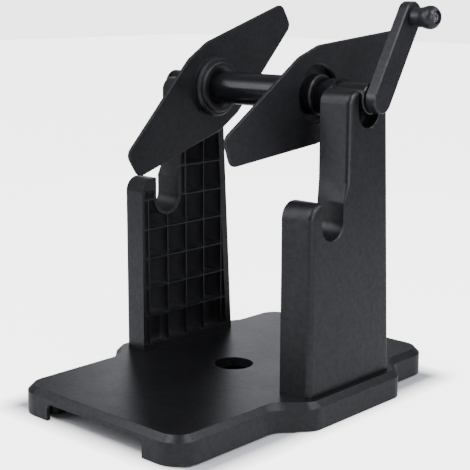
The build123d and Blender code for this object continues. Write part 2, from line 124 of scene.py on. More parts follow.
# Softboxes: azimuth from the crank side and elevation, both in degrees, and brightness
SOFTBOXES = {
    "right_high": (0, 42, 1.8), "right_low": (340, 12, 1.05), "right_rear_low": (20, 12, 0.24),
    "front_high": (270, 42, 1.12), "front_low": (252, 12, 0.6), "front_left": (232, 24, 0.74),
    "front_left_high": (225, 42, 0.42), "rear_right": (45, 42, 0.61), "rear_left": (135, 12, 0.25),
    "front_top": (262, 62, 0.6),
}
# Half the floor's width, as a share of the stand's diagonal
FLOOR_SHARE = 12
# Distances past the tray's sides, and past its ends, between which the painted shadow under the tray fades
# into the paper's glow
PAINTED_SHADOW_FADE_PAST_SIDE = (-12 * MM, 10 * MM)
PAINTED_SHADOW_FADE_PAST_END = (-10 * MM, 14 * MM)


def middle(node):
    """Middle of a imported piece's box."""
    low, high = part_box(node)
    return (low + high) / 2


def size(node):
    """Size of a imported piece's box."""
    low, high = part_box(node)
    return high - low


def along_shaft(node, x):
    """A place on a piece's own axis, turned along the shaft."""
    centre = middle(node)
    return Matrix.Translation((x, centre.y, centre.z)) @ ALONG_SHAFT


# Shader maths

class Wire:
    """A value in a node tree that Python sums and products can be written with."""

    def __init__(self, surface, socket):
        self.surface = surface
        self.socket = socket

    def combine(self, operation, first, second):
        """One step of sums, as a Math node."""
        return self.surface.node("ShaderNodeMath", {"operation": operation}, {0: first, 1: second})

    def __add__(self, other):
        return self.combine("ADD", self, other)

    __radd__ = __add__

    def __sub__(self, other):
        return self.combine("SUBTRACT", self, other)

    def __rsub__(self, other):
        return self.combine("SUBTRACT", other, self)

    def __mul__(self, other):
        return self.combine("MULTIPLY", self, other)

    __rmul__ = __mul__

    def __pow__(self, other):
        return self.combine("POWER", self, other)


class Surface:
    """A material and the nodes that make it."""

    def __init__(self, name):
        self.material = bpy.data.materials.new(name)
        self.material.use_nodes = True
        self.tree = self.material.node_tree
        self.tree.nodes.clear()
        self.shader = self.tree.nodes.new("ShaderNodeBsdfPrincipled")
        output = self.tree.nodes.new("ShaderNodeOutputMaterial")
        self.tree.links.new(self.shader.outputs["BSDF"], output.inputs["Surface"])
        self.place = self.node("ShaderNodeTexCoord", output="Object")

    def node(self, kind, settings=None, inputs=None, output=0):
        """Adds a node, sets it up, feeds its sockets, and gives one of its outputs."""
        node = self.tree.nodes.new(kind)
        for name, value in (settings or {}).items():
            setattr(node, name, value)
        for name, value in (inputs or {}).items():
            self.feed(node.inputs[name], value)
        return Wire(self, node.outputs[output])

    def feed(self, socket, value):
        """Links a wire to a socket, or sets the socket to a plain value."""
        if isinstance(value, Wire):
            self.tree.links.new(value.socket, socket)
        else:
            socket.default_value = value

    def mix(self, share, first, second):
        """Mixes two colours by a share, through the sockets that a Mix node has for colours."""
        return self.node("ShaderNodeMix", {"data_type": "RGBA"}, {0: share, 6: first, 7: second}, output=2)

    def shades(self, share, colour, first, second):
        """Carries a colour from one shade of it to another by a share."""
        return self.mix(share, shade(colour, first), shade(colour, second))

    def spread(self, value, low, high, out_low=0.0, out_high=1.0):
        """Carries a value from one range into another, and stops at its ends."""
        return self.node("ShaderNodeMapRange", {"clamp": True}, {
            "Value": value, "From Min": low, "From Max": high, "To Min": out_low, "To Max": out_high})

    def stretched(self, *scale):
        """Place scaled along each axis, which draws a pattern out along the axes with a small scale."""
        return self.node("ShaderNodeMapping", None, {"Vector": self.place, "Scale": scale})

    def noise(self, grain_size, detail=2.0, roughness=0.5, place=None):
        """Cloudy pattern with grains of a real size."""
        return self.node("ShaderNodeTexNoise", None, {
            "Vector": place or self.place, "Scale": 1 / grain_size, "Detail": detail,
            "Roughness": roughness})

    def relief(self, height, strength, depth, normal):
        """Bumps of a real depth on a softened normal."""
        return self.node("ShaderNodeBump", None, {
            "Strength": strength, "Distance": depth, "Height": height, "Normal": normal})

    def finish(self, **sockets):
        """Feeds the shader's own sockets, and gives the finished material."""
        for name, value in sockets.items():
            self.feed(self.shader.inputs[name.replace("_", " ")], value)
        return self.material


def shade(colour, factor=1.0):
    """A colour made lighter or darker."""
    return (colour[0] * factor, colour[1] * factor, colour[2] * factor, 1.0)


def swing(pattern, amount):
    """A pattern's rise and fall about its middle, by an amount."""
    return (pattern - 0.5) * amount


def edge_of(surface, radius):
    """Softened normal near sharp edges, and how near an edge each point is."""
    soft = surface.node("ShaderNodeBevel", {"samples": SHADER_RAYS}, {"Radius": radius})
    flat = surface.node("ShaderNodeNewGeometry", output="Normal")
    agreement = surface.node("ShaderNodeVectorMath", {"operation": "DOT_PRODUCT"}, {0: soft, 1: flat},
                             output="Value")
    return soft, surface.spread(agreement, EDGE_AGREEMENT, FACE_AGREEMENT, 1.0, 0.0)


def moulded(name, colour, roughness, grain, grain_depth, edge, mottling, dust_reach=0, rub=5.0, index=1.43):
    """Moulded plastic: satin grain, mottled bloom, cloudy gloss, edges paler as wear and as a painted
    highlight, and cells paler deep inside as dust and as painted light.
    """
    mottle_size, patch_size, speck_size, mottle_relief = 4 * MM, 28 * MM, 2.6 * MM, 1.2
    rub_and_highlight_strength, rub_gloss, rub_bloom, dust_and_painted_light_shade = 0.55, 0.08, 0.2, 16.0
    surface = Surface(name)
    fine = surface.noise(grain, detail=3.0, roughness=0.6)
    mottle = surface.noise(mottle_size, detail=4.0, roughness=0.85)
    patches = surface.noise(patch_size, detail=3.0, roughness=0.55)
    specks = surface.noise(speck_size, detail=2.0, roughness=0.7)
    soft, edge_mask = edge_of(surface, edge)
    # Rubbed edges in specks: partly wear, partly a painted highlight along the rounded edges
    rubbed_and_highlit = edge_mask * surface.spread(specks, 0.35, 0.6, 0.35, 1.0)
    cloud = surface.spread(patches, 0.3, 0.7)
    tint = surface.shades(cloud, colour, 0.86, 1.18)
    # Painted highlight: edges take a much lighter shade of the colour, as well as wear
    tint = surface.mix(rubbed_and_highlit * rub_and_highlight_strength, tint, shade(colour, rub))
    # Painted light: deep in the cells, where the surround is shut out, the colour turns much paler, partly
    # as dust and partly to lift the shade there
    if dust_reach:
        openness = surface.node("ShaderNodeAmbientOcclusion", {"samples": SHADER_RAYS, "only_local": True},
                                {"Distance": dust_reach}, output="AO")
        tint = surface.mix(surface.spread(openness, 0.12, 0.42, 1.0, 0.0), tint, shade(colour, dust_and_painted_light_shade))
    gloss = roughness + swing(cloud, 0.05) + swing(fine, 0.05) + swing(mottle, 0.12) - rubbed_and_highlit * rub_gloss
    bloom = surface.spread(mottle, 0.3, 0.7, 0.0, mottling) + rubbed_and_highlit * rub_bloom
    relief = surface.relief(fine + mottle * mottle_relief, 0.5, grain_depth, soft)
    return surface.finish(Base_Color=tint, Roughness=gloss, Normal=relief, IOR=index, Coat_Weight=bloom,
                          Coat_Roughness=roughness)


def coated_metal(name, colour, roughness, edge):
    """Black coated steel tube: smooth, with faint drawn lines along it and hairline scuffs round it."""
    line_size, line_depth, scuff_size, patch_size = 0.5 * MM, 0.01 * MM, 0.7 * MM, 18 * MM
    scuff_strength, edge_strength, edge_shade = 0.5, 0.6, 4.0
    scuff_gloss, coating_index = 0.12, 1.5
    surface = Surface(name)
    lines = surface.noise(line_size, place=surface.stretched(0.02, 1.0, 1.0))
    scuffs = surface.noise(scuff_size, detail=3.0, roughness=0.65, place=surface.stretched(1.0, 0.08, 0.08))
    patches = surface.noise(patch_size)
    soft, edge_mask = edge_of(surface, edge)
    scuffed = surface.spread(scuffs, 0.56, 0.74) * surface.spread(patches, 0.4, 0.65)
    tint = surface.shades(scuffed * scuff_strength, colour, 1.0, 2.6)
    tint = surface.mix(edge_mask * edge_strength, tint, shade(colour, edge_shade))
    gloss = roughness + scuffed * scuff_gloss + swing(lines, 0.06) + swing(patches, 0.08)
    relief = surface.relief(lines, 0.2, line_depth, soft)
    return surface.finish(Base_Color=tint, Roughness=gloss, Normal=relief, IOR=coating_index)


def plated_steel(name, colour, roughness, edge):
    """Zinc plated steel: bright, with turning marks, a cloudy passivated bloom and paler edges."""
    bloom_size, mark_size, mark_depth = 1.6 * MM, 0.18 * MM, 0.01 * MM
    edge_strength, edge_shade = 0.5, 1.35
    surface = Surface(name)
    bloom = surface.noise(bloom_size, detail=3.0, roughness=0.6)
    marks = surface.noise(mark_size)
    soft, edge_mask = edge_of(surface, edge)
    tint = surface.shades(surface.spread(bloom, 0.35, 0.65), colour, 0.8, 1.1)
    tint = surface.mix(edge_mask * edge_strength, tint, shade(colour, edge_shade))
    gloss = roughness + swing(bloom, 0.18) + swing(marks, 0.08)
    relief = surface.relief(marks, 0.25, mark_depth, soft)
    return surface.finish(Base_Color=tint, Metallic=1.0, Roughness=gloss, Normal=relief)


def rubber(name, colour, roughness, edge):
    """Matt rubber: pores, patches of dust, and slightly paler worn edges."""
    pore_size, pore_depth, dust_size = 0.35 * MM, 0.04 * MM, 5 * MM
    edge_strength, edge_shade = 0.5, 2.0
    surface = Surface(name)
    pores = surface.noise(pore_size, detail=4.0, roughness=0.7)
    dust = surface.noise(dust_size, detail=3.0)
    soft, edge_mask = edge_of(surface, edge)
    tint = surface.shades(surface.spread(dust, 0.45, 0.7, 0.0, 0.7), colour, 0.9, 1.7)
    tint = surface.mix(edge_mask * edge_strength, tint, shade(colour, edge_shade))
    relief = surface.relief(pores, 0.5, pore_depth, soft)
    return surface.finish(Base_Color=tint, Roughness=roughness + swing(pores, 0.2), Normal=relief)


def paper_floor(name, colour, roughness, glow, corner):
    """Plain pale studio paper that glows to the camera all round the stand, with a painted shadow under the
    stand where the glow is left out.
    """
    fibre_size, black, white = 3 * MM, (0, 0, 0, 1), (1, 1, 1, 1)
    surface = Surface(name)
    fibre = surface.noise(fibre_size, detail=3.0)
    tint = surface.shades(surface.spread(fibre, 0.3, 0.7), colour, 0.985, 1.0)
    seen = surface.node("ShaderNodeLightPath", output="Is Camera Ray")
    # Painted shadow: the paper's glow to the camera is left out under the tray and fades in past its sides
    # and ends
    painted_shadow = 1
    for axis, edge, fade in (("X", corner.x, PAINTED_SHADOW_FADE_PAST_SIDE), ("Y", corner.y, PAINTED_SHADOW_FADE_PAST_END)):
        reach = surface.node("ShaderNodeSeparateXYZ", None, {"Vector": surface.place}, output=axis)
        painted_shadow = painted_shadow * (1 - surface.spread(reach ** 2, *((edge + past) ** 2 for past in fade)))
    lit = surface.mix(seen * (1 - painted_shadow), black, white)
    return surface.finish(Base_Color=tint, Roughness=roughness, Emission_Color=lit, Emission_Strength=glow)


def wear(node, material):
    """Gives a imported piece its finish."""
    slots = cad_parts[node].data.materials
    slots.clear()
    slots.append(material)


def take_over(piece, material, body, slot, *nodes):
    """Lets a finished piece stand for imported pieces, and move with their body."""
    piece.data.materials.clear()
    piece.data.materials.append(material)
    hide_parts(*nodes)
    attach(piece, body)


# Mesh helpers

def round_ring(radius):
    """A ring of one radius."""
    return lambda angle: radius


def hex_ring(across_flats):
    """A six-sided ring with a distance across its flats."""
    def radius(angle):
        off = (angle + math.pi / 6) % (math.pi / 3) - math.pi / 6
        return across_flats / 2 / math.cos(off)
    return radius


def turned_piece(name, rings, place, segments=SEGMENTS, through=False):
    """Piece turned about the local Z axis from (height, ring) pairs, closed by end faces or by a bore."""
    mesh = bmesh.new()
    loops = []
    for height, ring in rings:
        loop = []
        for i in range(segments):
            angle = math.tau * i / segments
            reach = ring(angle)
            loop.append(mesh.verts.new((reach * math.cos(angle), reach * math.sin(angle), height)))
        loops.append(loop)
    for lower, upper in zip(loops, loops[1:] + loops[:1] if through else loops[1:]):
        for i in range(segments):
            j = (i + 1) % segments
            mesh.faces.new((lower[i], lower[j], upper[j], upper[i]))
    if not through:
        for loop, (height, ring) in ((loops[0], rings[0]), (loops[-1], rings[-1])):
            hub = mesh.verts.new((0, 0, height))
            for i in range(segments):
                mesh.faces.new((loop[i], loop[(i + 1) % segments], hub))
    bmesh.ops.recalc_face_normals(mesh, faces=mesh.faces)
    data = bpy.data.meshes.new(name)
    mesh.to_mesh(data)
    mesh.free()
    data.transform(place)
    data.update()
    smooth_by_angle(data)
    return linked_object(name, data)


def linked_object(name, data):
    """An object in the scene with its data."""
    made = bpy.data.objects.new(name, data)
    bpy.context.scene.collection.objects.link(made)
    return made


def smooth_by_angle(data, limit=math.radians(32)):
    """Shades a mesh smooth but keeps its sharp edges."""
    for face in data.polygons:
        face.use_smooth = True
    shape = bmesh.new()
    shape.from_mesh(data)
    for edge in shape.edges:
        edge.smooth = len(edge.link_faces) == 2 and edge.calc_face_angle(0) < limit
    shape.to_mesh(data)
    shape.free()


def arc_rings(height, reach, radius, start, stop, steps):
    """Rings along a round, from its centre's height and reach and its angles, counted up from outward."""
    rings = []
    for i in range(steps + 1):
        angle = start + (stop - start) * i / steps
        rings.append((height + radius * math.sin(angle), round_ring(reach + radius * math.cos(angle))))
    return rings


def socket_rings(top, depth, cone, flat, edge, lead_in):
    """Rings of a hexagon socket: its lead-in, its walls, and the drilled cone under its floor."""
    drill_tip = flat * 0.2
    return [(top, round_ring(flat / 2 * lead_in)), (top - edge, hex_ring(flat)),
            (top - depth, hex_ring(flat)), (top - depth - cone, round_ring(drill_tip))]


def screw_rings(settings, head_radius, head_height, shanks):
    """Rings of a pan head screw on its head's seat, with its shanks as (length, radius) from the tip up."""
    flat, edge = settings.socket_across, settings.break_edge
    shoulder = min(settings.shoulder, head_height * 0.6)
    cone, lead = flat * 0.1, 0.25
    height = -sum(length for length, radius in shanks)
    rings = [(height, round_ring(shanks[0][1] * (1 - lead)))]
    for length, radius in shanks:
        rings.append((height + radius * lead, round_ring(radius)))
        height += length
        rings.append((height, round_ring(radius)))
    rings += [(0, round_ring(head_radius - edge)), (edge, round_ring(head_radius))]
    rings += arc_rings(head_height - shoulder, head_radius - shoulder, shoulder, 0, QUARTER, SHOULDER_STEPS)
    return rings + socket_rings(head_height, settings.socket_depth, cone, flat, edge, lead_in=1.3)


def grub_rings(settings, radius, length):
    """Rings of a grub screw: cup point below, socket on top."""
    cup, cup_edge, lead = radius * 0.3, radius * 0.55, radius * 0.4
    flat, socket_depth, cone = radius * 1.05, radius * 1.2, radius * 0.15
    edge = settings.break_edge
    rings = [(cup, round_ring(cup)), (0, round_ring(cup_edge)), (lead, round_ring(radius)),
             (length - edge, round_ring(radius)), (length, round_ring(radius - edge))]
    return rings + socket_rings(length, socket_depth, cone, flat, edge, lead_in=1.25)


def pad_rings(settings, radius, height):
    """Rings of a foot pad: a softened rim and round grooves underneath."""
    rim, mouth = settings.pad_rim, settings.pad_groove / 2
    depth, floor = mouth, mouth * 0.7
    centre = radius * 0.2
    rings = [(0, round_ring(centre))]
    for share in PAD_GROOVE_SHARES:
        reach = radius * share
        rings += [(0, round_ring(reach - mouth)), (depth, round_ring(reach - floor)),
                  (depth, round_ring(reach + floor)), (0, round_ring(reach + mouth))]
    rings += arc_rings(rim, radius - rim, rim, -QUARTER, 0, RIM_STEPS)
    return rings + [(height, round_ring(radius))]


def knob_rings(settings, length, radius):
    """Rings of the knob: straight neck, pear-shaped grip, rounded rim, and a recess with a bore."""
    rim, bore, recess = settings.knob_rim, settings.knob_bore, settings.knob_recess
    neck, crown = radius * settings.knob_neck, radius * 0.84
    neck_end, widest = length * 0.3, length * 0.7
    grip_handle, crown_handle, rim_handle = length * 0.17, length * 0.14, length * 0.07
    rim_foot = (length - rim * 0.55, recess + rim * 1.25, 0)
    rings = [(0, round_ring(bore)), (0, round_ring(neck - rim / 2)), (rim / 2, round_ring(neck))]
    curve = interpolate_bezier((neck_end, neck, 0), (neck_end + grip_handle, neck, 0),
                               (widest - grip_handle, radius, 0), (widest, radius, 0), CURVE_POINTS)
    curve += interpolate_bezier((widest, radius, 0), (widest + crown_handle, radius, 0),
                                (length - rim_handle, crown, 0), rim_foot, CURVE_POINTS)[1:]
    rings += [(point.x, round_ring(point.y)) for point in curve]
    rings += arc_rings(length - rim, recess + rim, rim, math.pi / 6, math.pi, RIM_STEPS)[1:]
    floor, fillet = length - settings.knob_recess_depth, rim * 0.4
    return rings + [(floor + fillet, round_ring(recess)), (floor, round_ring(recess - fillet)),
                    (floor, round_ring(bore))]


def repeat_at(name, unit, places, material):
    """Copies of a unit piece on a set of points, made with geometry nodes and turned into a plain mesh."""
    tree = bpy.data.node_groups.new(name + "_layout", "GeometryNodeTree")
    tree.interface.new_socket("Geometry", in_out="INPUT", socket_type="NodeSocketGeometry")
    unit_socket = tree.interface.new_socket("Piece", in_out="INPUT", socket_type="NodeSocketObject")
    turn_socket = tree.interface.new_socket("Turn", in_out="INPUT", socket_type="NodeSocketFloat")
    finish_socket = tree.interface.new_socket("Finish", in_out="INPUT", socket_type="NodeSocketMaterial")
    tree.interface.new_socket("Geometry", in_out="OUTPUT", socket_type="NodeSocketGeometry")
    given = tree.nodes.new("NodeGroupInput")
    made = tree.nodes.new("NodeGroupOutput")
    copies = tree.nodes.new("GeometryNodeInstanceOnPoints")
    source = tree.nodes.new("GeometryNodeObjectInfo")
    turn = tree.nodes.new("FunctionNodeRandomValue")
    turn.data_type = "FLOAT"
    turn.inputs["Seed"].default_value = TURN_SEED
    # The Random Value node has a socket for each type, and these are its floats
    most, turned = turn.inputs[3], turn.outputs[1]
    spin = tree.nodes.new("ShaderNodeCombineXYZ")
    realize = tree.nodes.new("GeometryNodeRealizeInstances")
    finish = tree.nodes.new("GeometryNodeSetMaterial")
    link = tree.links.new
    link(given.outputs["Geometry"], copies.inputs["Points"])
    link(given.outputs["Piece"], source.inputs["Object"])
    link(source.outputs["Geometry"], copies.inputs["Instance"])
    link(given.outputs["Turn"], most)
    link(turned, spin.inputs["Z"])
    link(spin.outputs["Vector"], copies.inputs["Rotation"])
    link(copies.outputs["Instances"], realize.inputs["Geometry"])
    link(realize.outputs["Geometry"], finish.inputs["Geometry"])
    link(given.outputs["Finish"], finish.inputs["Material"])
    link(finish.outputs["Geometry"], made.inputs["Geometry"])
    points = bpy.data.meshes.new(name + "_points")
    points.from_pydata(places, [], [])
    layout = linked_object(name + "_points", points)
    modifier = layout.modifiers.new("Layout", "NODES")
    modifier.node_group = tree
    modifier[unit_socket.identifier] = unit
    modifier[turn_socket.identifier] = math.tau
    modifier[finish_socket.identifier] = material
    data = modified_mesh(layout)
    data.name = name
    bpy.data.objects.remove(layout)
    bpy.data.objects.remove(unit)
    return linked_object(name, data)


def modified_mesh(piece):
    """The mesh that a piece has after its modifiers."""
    bpy.context.view_layer.update()
    graph = bpy.context.evaluated_depsgraph_get()
    return bpy.data.meshes.new_from_object(piece.evaluated_get(graph))


def box_cutter(name, boxes):
    """Separate boxes in one mesh, each from its lowest and its highest corner."""
    mesh = bmesh.new()
    for low, high in boxes:
        low, high = Vector(low), Vector(high)
        place = Matrix.Translation((low + high) / 2) @ Matrix.Diagonal((*(high - low), 1))
        bmesh.ops.create_cube(mesh, size=1, matrix=place)
    data = bpy.data.meshes.new(name)
    mesh.to_mesh(data)
    mesh.free()
    return linked_object(name, data)


def front_cells(detail, front, deck):
    """Places of the narrow cells behind an upright's front walls: (front, rear, lower, upper)."""
    rib, wall, rim = detail.rib_width / 2, detail.cell_wall, detail.first_rib
    levels = [deck + detail.level_start + detail.level_pitch * i for i in range(TOP_LEVEL + 1)]
    post = front + detail.post_setback
    cells = []
    for place, column in ((front, levels[:HORN_LEVEL + 1]), (post, levels[HORN_LEVEL:])):
        cells += [(place + wall, place + rim - rib, lower + rib, upper - rib)
                  for lower, upper in zip(column, column[1:])]
    horn, top = levels[HORN_LEVEL], levels[TOP_LEVEL]
    cells.append((front + wall, front + detail.horn_depth, horn + rib, horn + detail.horn_cell))
    cells.append((post + wall, post + detail.top_cell_depth, top + rib, top + detail.top_cell))
    return cells


def linked_groups(faces):
    """Faces that touch along edges, group by group."""
    waiting, groups = set(faces), []
    while waiting:
        group, reached = [], [waiting.pop()]
        while reached:
            face = reached.pop()
            group.append(face)
            near = {other for side in face.edges for other in side.link_faces} & waiting
            waiting -= near
            reached.extend(near)
        groups.append(group)
    return groups


def depth_behind(tree, start, side, low, high, wall, limit):
    """Depth that a cell may have before it comes within a wall's thickness of the next surface outward."""
    shares = [i / PROBE_STEPS for i in range(PROBE_STEPS + 1)]
    across = [low[0] + (high[0] - low[0]) * share for share in shares]
    up = [low[1] + (high[1] - low[1]) * share for share in shares]
    hits = [tree.ray_cast(Vector((side * start, y, z)), Vector((side, 0, 0))) for y in across for z in up]
    return min([limit] + [distance - wall for *point, distance in hits if distance is not None])


def deepen_cells(mesh, tree, inner, side, detail):
    """Moves the floors of an upright's packed cells outward, and thins the ribs at the cells' mouths."""
    start, inset = inner + detail.packed_cell_depth, detail.rib_width / 2
    floors = [face for face in mesh.faces if all(abs(abs(v.co.x) - start) < NEAR for v in face.verts)]
    for group in linked_groups(floors):
        verts = {vert for face in group for vert in face.verts}
        mouth = {edge.other_vert(vert) for vert in verts for edge in vert.link_edges} - verts
        sides = [(axis, min(v.co[axis] for v in verts), max(v.co[axis] for v in verts)) for axis in (1, 2)]
        least, most = zip(*((low + inset, high - inset) for axis, low, high in sides))
        depth = depth_behind(tree, start + CLEAR, side, least, most, detail.outer_wall, detail.cell_depth)
        for vert in mouth:
            for axis, low, high in sides:
                if abs(vert.co[axis] - low) < NEAR:
                    vert.co[axis] -= detail.rib_taper
                elif abs(vert.co[axis] - high) < NEAR:
                    vert.co[axis] += detail.rib_taper
        for vert in verts:
            vert.co.x = side * (start + max(depth, 0))


def sunk_upright(node, detail):
    """Copy of a packed upright with its cells sunk deeper, and narrow cells behind its front walls."""
    low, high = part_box(node)
    side = 1 if high.x > 0 else -1
    inner = min(abs(low.x), abs(high.x))
    mesh = bmesh.new()
    mesh.from_mesh(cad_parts[node].data)
    bmesh.ops.remove_doubles(mesh, verts=mesh.verts, dist=WELD)
    tree = BVHTree.FromBMesh(mesh)
    deepen_cells(mesh, tree, inner, side, detail)
    data = bpy.data.meshes.new(node + "_body")
    mesh.to_mesh(data)
    mesh.free()
    body = linked_object(node + "_body", data)
    boxes = []
    for front, rear, lower, upper in front_cells(detail, low.y, low.z):
        depth = depth_behind(tree, inner + CLEAR, side, (front, lower), (rear, upper), detail.outer_wall,
                             detail.narrow_cell_depth)
        reach = sorted((side * (inner - detail.cut_overrun), side * (inner + depth)))
        boxes.append(((reach[0], front, lower), (reach[1], rear, upper)))
    cutter = box_cutter(node + "_cells", boxes)
    cut = body.modifiers.new("Cells", "BOOLEAN")
    cut.operation = "DIFFERENCE"
    cut.solver = "EXACT"
    cut.object = cutter
    made = modified_mesh(body)
    body.modifiers.clear()
    body.data = made
    bpy.data.objects.remove(cutter)
    smooth_by_angle(made)
    return body


# What a user would change

LENGTH = {"unit": "LENGTH", "min": 0}
SHARE = {"subtype": "FACTOR", "min": 0, "max": 1}
COLOUR = {"subtype": "COLOR", "size": 3, "min": 0, "max": 1}


class HolderFinish(bpy.types.PropertyGroup):
    """Colours and finishes."""
    moulded_colour: bpy.props.FloatVectorProperty(
        name="Moulded Black", description="Plastic of the tray and the uprights",
        default=(0.0075, 0.0075, 0.0082), **COLOUR)
    moulded_roughness: bpy.props.FloatProperty(
        name="Moulded Roughness", description="How matt the tray and the uprights are", default=0.36,
        **SHARE)
    paddle_colour: bpy.props.FloatVectorProperty(
        name="Paddle Black", description="Plastic of the paddles", default=(0.0125, 0.0125, 0.0138),
        **COLOUR)
    paddle_roughness: bpy.props.FloatProperty(
        name="Paddle Roughness", description="How matt the paddles are", default=0.34, **SHARE)
    turned_colour: bpy.props.FloatVectorProperty(
        name="Turned Black", description="Plastic of the bushes, the end cap and the journals",
        default=(0.0085, 0.0085, 0.009), **COLOUR)
    turned_roughness: bpy.props.FloatProperty(
        name="Turned Roughness", description="How matt the turned pieces are", default=0.24, **SHARE)
    tube_colour: bpy.props.FloatVectorProperty(
        name="Tube Black", description="Coating of the shaft", default=(0.006, 0.006, 0.0075), **COLOUR)
    tube_roughness: bpy.props.FloatProperty(
        name="Tube Roughness", description="How matt the shaft is", default=0.21, **SHARE)
    crank_colour: bpy.props.FloatVectorProperty(
        name="Crank Black", description="Plastic of the crank and its knob", default=(0.018, 0.018, 0.0205),
        **COLOUR)
    crank_roughness: bpy.props.FloatProperty(
        name="Crank Roughness", description="How matt the crank is", default=0.3, **SHARE)
    mottling: bpy.props.FloatProperty(
        name="Mottling", description="Strength of the mottled bloom on the plastic", default=0.45, **SHARE)
    steel_colour: bpy.props.FloatVectorProperty(
        name="Screw Steel", description="Plating of the screws", default=(0.56, 0.56, 0.58), **COLOUR)
    steel_roughness: bpy.props.FloatProperty(
        name="Screw Roughness", description="How matt the screws are", default=0.3, **SHARE)
    knob_screw_colour: bpy.props.FloatVectorProperty(
        name="Knob Screw Steel", description="Darker plating of the screw in the knob",
        default=(0.36, 0.36, 0.37), **COLOUR)
    knob_screw_roughness: bpy.props.FloatProperty(
        name="Knob Screw Roughness", description="How matt the screw in the knob is", default=0.25, **SHARE)
    rubber_colour: bpy.props.FloatVectorProperty(
        name="Rubber", description="Foot pads and grip rings", default=(0.016, 0.016, 0.016), **COLOUR)
    rubber_roughness: bpy.props.FloatProperty(
        name="Rubber Roughness", description="How matt the foot pads and the grip rings are", default=0.75,
        **SHARE)
    floor_colour: bpy.props.FloatVectorProperty(
        name="Floor", description="Studio paper", default=(0.9, 0.9, 0.9), **COLOUR)
    floor_roughness: bpy.props.FloatProperty(
        name="Floor Roughness", description="How matt the studio paper is", default=0.9, **SHARE)


